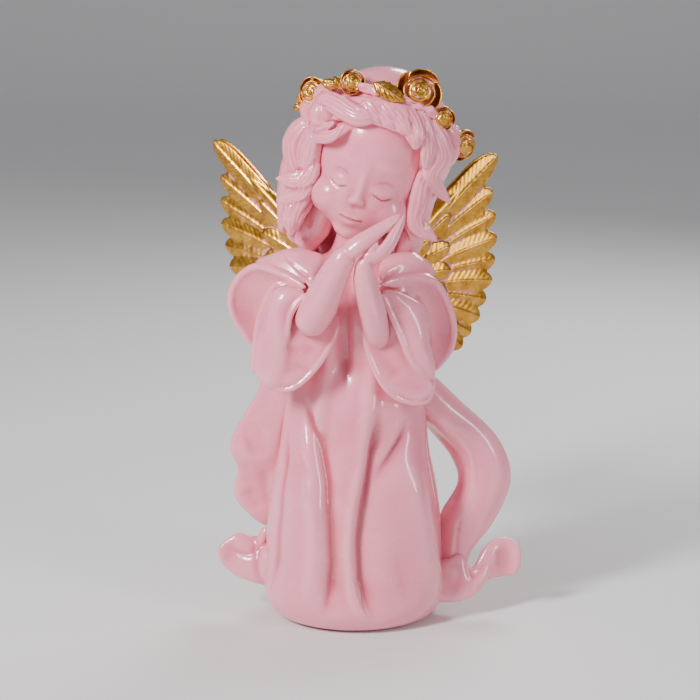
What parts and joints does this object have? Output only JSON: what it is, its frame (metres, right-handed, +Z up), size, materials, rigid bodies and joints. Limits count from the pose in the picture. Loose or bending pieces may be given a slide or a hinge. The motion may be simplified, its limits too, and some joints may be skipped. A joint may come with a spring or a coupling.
{
  "type": "angel figurine",
  "caption": "Standing angel figurine in glossy pink resin, palms pressed beside a tilted sleeping face, long folded gown, bell sleeves, curling shawl, gold feathered wings and a rose wreath.",
  "frame": {"origin": "middle of the felt pad's resting face, under the gown", "axes": "+Z up, -Y is the way the figure faces, +X to the figure's left, which is the viewer's right"},
  "size_m": [0.0913, 0.0732, 0.1584],
  "materials": {
    "pink_resin": "glossy lacquered cast resin, deeper pink in the recesses",
    "gold_paint": "metallic gold paint brushed over pink resin",
    "steel_pin": "plain drawn steel",
    "felt": "cream felt, matt"
  },
  "bodies": {
    "root": {"felt_pad": "felt", "gown_and_neck": "pink_resin", "cape": "pink_resin", "sleeve_right": "pink_resin", "sleeve_left": "pink_resin", "arm_right": "pink_resin", "arm_left": "pink_resin", "shawl_fall_right": "pink_resin", "shawl_tail_right": "pink_resin", "shawl_loop_left": "pink_resin", "shawl_tail_left": "pink_resin", "shawl_back": "pink_resin", "wing_right": "gold_paint", "wing_left": "gold_paint", "wing_pin_right": "steel_pin", "wing_pin_left": "steel_pin", "neck_pin": "steel_pin", "head": "pink_resin", "hair_cap": "pink_resin", "hair_fringe": "pink_resin", "hair_side_right": "pink_resin", "hair_side_left": "pink_resin", "hair_back": "pink_resin", "wreath_vine": "pink_resin", "rose_brow_large": "gold_paint", "rose_left_small": "gold_paint", "rose_left_side": "gold_paint", "rose_right_bud": "gold_paint", "rose_right_side": "gold_paint", "rose_back_left": "gold_paint", "rose_back_right": "gold_paint", "leaf_brow": "gold_paint", "leaf_right_temple": "gold_paint", "leaf_right_low": "gold_paint", "leaf_left_low": "gold_paint", "leaf_back_left": "gold_paint", "leaf_back_right": "gold_paint"}
  },
  "joints": []
}
